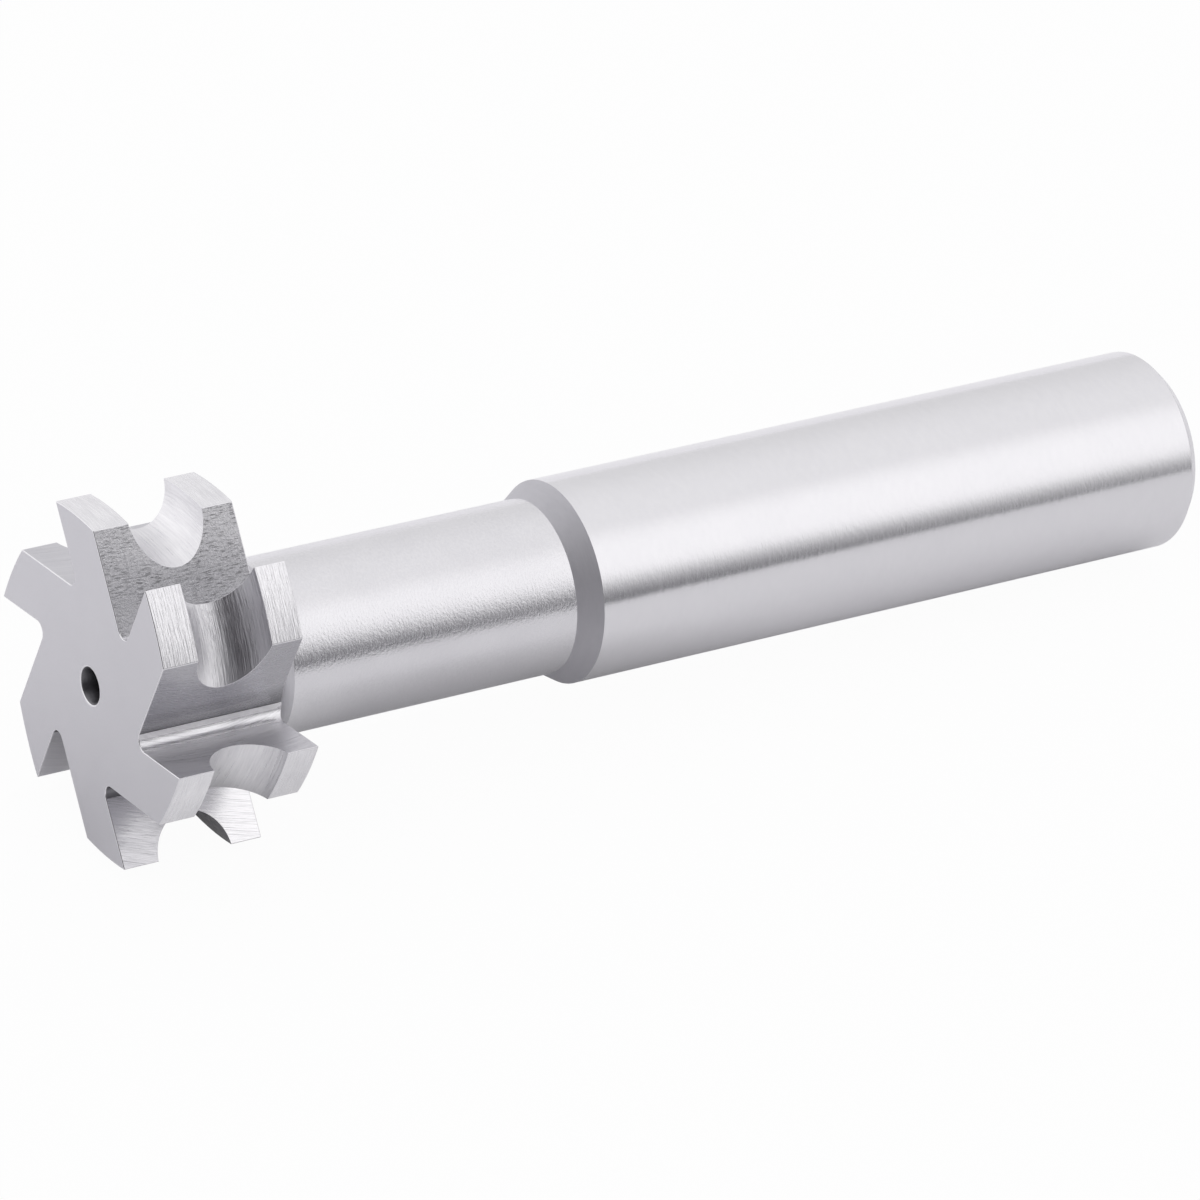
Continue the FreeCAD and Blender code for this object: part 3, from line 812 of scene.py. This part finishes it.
def makeFloor():
    s = studioSizes
    half = s["floorWidth"] / 2
    mesh = bpy.data.meshes.new("floor")
    mesh.from_pydata([(x * half, y * half, -s["floorDrop"]) for x, y in ((-1, -1), (1, -1), (1, 1), (-1, 1))],
                     [], [(0, 1, 2, 3)])
    floor = bpy.data.objects.new("floor", mesh)
    scene.collection.objects.link(floor)
    material, tree = newStageMaterial("paleFloor")
    path = addNode(tree, "ShaderNodeLightPath").outputs
    place = addNode(tree, "ShaderNodeTexCoord").outputs["Object"]
    depth = addNode(tree, "ShaderNodeSeparateXYZ", {0: place}).outputs["Y"]
    # painted light and shade on the floor as the steel reflects it: darker in front, and painted shadows
    # under neck and head
    paintedFrontBackLight = spread(tree, depth, *s["mirrorTurn"], s["mirrorFront"], s["mirrorBack"], "SMOOTHSTEP")
    paintedNeckShadow = roundSpot(tree, place, s["neckShadowPlace"], s["neckShadowReach"], s["neckShadowShare"])
    paintedHeadShadow = roundSpot(tree, place, s["headShadowPlace"], s["headShadowReach"], s["headShadowShare"])
    paintedMirrorShade = maths(tree, "MULTIPLY", paintedFrontBackLight, maths(tree, "MULTIPLY", paintedNeckShadow, paintedHeadShadow))
    tone = addNode(tree, "ShaderNodeMix", {0: path["Is Glossy Ray"], 2: s["floorTone"], 3: paintedMirrorShade},
                   data_type="FLOAT").outputs[0]
    shade = addNode(tree, "ShaderNodeVectorMath", {0: s["airTint"], "Scale": tone},
                    operation="SCALE").outputs[0]
    paper = addNode(tree, "ShaderNodeBsdfDiffuse", {"Color": shade})
    glow = mixColours(tree, path["Is Glossy Ray"], (1, 1, 1, 1), shade)
    white = addNode(tree, "ShaderNodeEmission", {"Color": glow, "Strength": 1.0})
    seen = maths(tree, "MAXIMUM", path["Is Camera Ray"], path["Is Transmission Ray"])
    # painted light: the floor glows in the steel's reflections near the head
    paintedGlow = roundSpot(tree, place, s["glowPlace"], s["glowReach"], *s["glowLift"], "LINEAR")
    lift = maths(tree, "ADD", maths(tree, "MULTIPLY", seen, s["floorLift"]),
                 maths(tree, "MULTIPLY", path["Is Glossy Ray"], paintedGlow))
    mixed = addNode(tree, "ShaderNodeMixShader", {0: lift, 1: paper.outputs[0], 2: white.outputs[0]})
    addNode(tree, "ShaderNodeOutputMaterial", {0: mixed.outputs[0]})
    mesh.materials.append(material)


def makeSky():
    s = studioSizes
    world = bpy.data.worlds.new("softRoom")
    scene.world = world
    world.use_nodes = True
    tree = world.node_tree
    way = addNode(tree, "ShaderNodeTexCoord").outputs["Generated"]
    rise = addNode(tree, "ShaderNodeSeparateXYZ", {0: way}).outputs["Z"]
    height = spread(tree, rise, 0.0, 1.0, ease="SMOOTHSTEP")
    tone = mixColours(tree, height, tinted(s["skyLow"], s["airTint"]), tinted(s["skyTop"], s["airTint"]))
    tree.links.new(tone, tree.nodes["Background"].inputs["Color"])


# Nearness of a direction to a given way, 1 within the inner angle and 0 past the outer one
def nearWay(tree, direction, way, angles):
    dot = vectorMaths(tree, "DOT_PRODUCT", direction, Vector(way).normalized())["Value"]
    return spread(tree, dot, *[math.cos(math.radians(angle)) for angle in angles], ease="SMOOTHSTEP")


# The studio round the table, seen only in the steel: a bright panel, a dark side and the table's dark edge
def makeStudioShell():
    s = studioSizes
    mesh = bpy.data.meshes.new("studioShell")
    built = bmesh.new()
    bmesh.ops.create_uvsphere(built, u_segments=s["shellSteps"][0], v_segments=s["shellSteps"][1],
                              radius=s["shellRadius"])
    below = [v for v in built.verts if v.co.z < s["shellFoot"]]
    bmesh.ops.delete(built, geom=below, context="VERTS")
    built.to_mesh(mesh)
    built.free()
    shell = bpy.data.objects.new("studioShell", mesh)
    scene.collection.objects.link(shell)
    shell.visible_camera = False
    shell.visible_diffuse = False
    material, tree = newStageMaterial("studioShell")
    material.cycles.emission_sampling = "NONE"
    bounces = addNode(tree, "ShaderNodeLightPath").outputs["Ray Depth"]
    darkShare = spread(tree, bounces, *s["firstBounce"], 1.0, s["deepShare"])
    tableShare = spread(tree, bounces, *s["firstBounce"], 1.0, s["deepTable"])
    place = addNode(tree, "ShaderNodeTexCoord").outputs["Object"]
    way = addNode(tree, "ShaderNodeVectorMath", {0: place}, operation="NORMALIZE").outputs[0]
    parts = addNode(tree, "ShaderNodeSeparateXYZ", {0: way}).outputs
    slant = maths(tree, "MULTIPLY", maths(tree, "SUBTRACT", s["tableWay"][0], parts["X"]), s["tableSlant"])
    low = spread(tree, maths(tree, "SUBTRACT", parts["Z"], slant), *s["tableEdge"])
    back = nearWay(tree, way, s["backWay"], s["backSpread"])
    panel = nearWay(tree, way, s["panelWay"], s["panelSpread"])
    shade = maths(tree, "MULTIPLY", nearWay(tree, way, s["shadeWay"], s["shadeSpread"]), darkShare)
    core = maths(tree, "MULTIPLY", nearWay(tree, way, s["coreWay"], s["coreSpread"]), darkShare)
    table = maths(tree, "MULTIPLY", low, nearWay(tree, way, s["tableWay"], s["tableSpread"]))
    layers = [(back, tinted(s["backTone"], s["brightTint"])),
              (panel, tinted(s["panelTone"], s["brightTint"])),
              (shade, tinted(s["shadeTone"], s["shadeTint"])),
              (core, tinted(s["coreTone"], s["coreTint"])),
              (maths(tree, "MULTIPLY", table, tableShare), tinted(s["tableTone"], s["shadeTint"]))]
    mixed = addNode(tree, "ShaderNodeBsdfTransparent").outputs[0]
    for mask, colour in layers:
        glow = addNode(tree, "ShaderNodeEmission", {"Color": colour, "Strength": 1.0})
        mixed = addNode(tree, "ShaderNodeMixShader", {0: mask, 1: mixed, 2: glow.outputs[0]}).outputs[0]
    addNode(tree, "ShaderNodeOutputMaterial", {0: mixed})
    mesh.materials.append(material)


makeFloor()
makeSky()
makeStudioShell()
print("studio made")


cameraPlace = {
    "location": (-0.21128, -0.30754, 0.27516),
    "turn": (53.967, -4.915, -30.616),
    "lens": 223.99,
    "sensor": 36,
}


def makeCamera():
    s = cameraPlace
    lens = bpy.data.cameras.new("camera")
    lens.lens = s["lens"]
    lens.sensor_width = s["sensor"]
    camera = bpy.data.objects.new("camera", lens)
    camera.location = s["location"]
    camera.rotation_euler = [math.radians(angle) for angle in s["turn"]]
    scene.collection.objects.link(camera)
    scene.camera = camera


makeCamera()
print("camera placed")
bpy.context.view_layer.update()
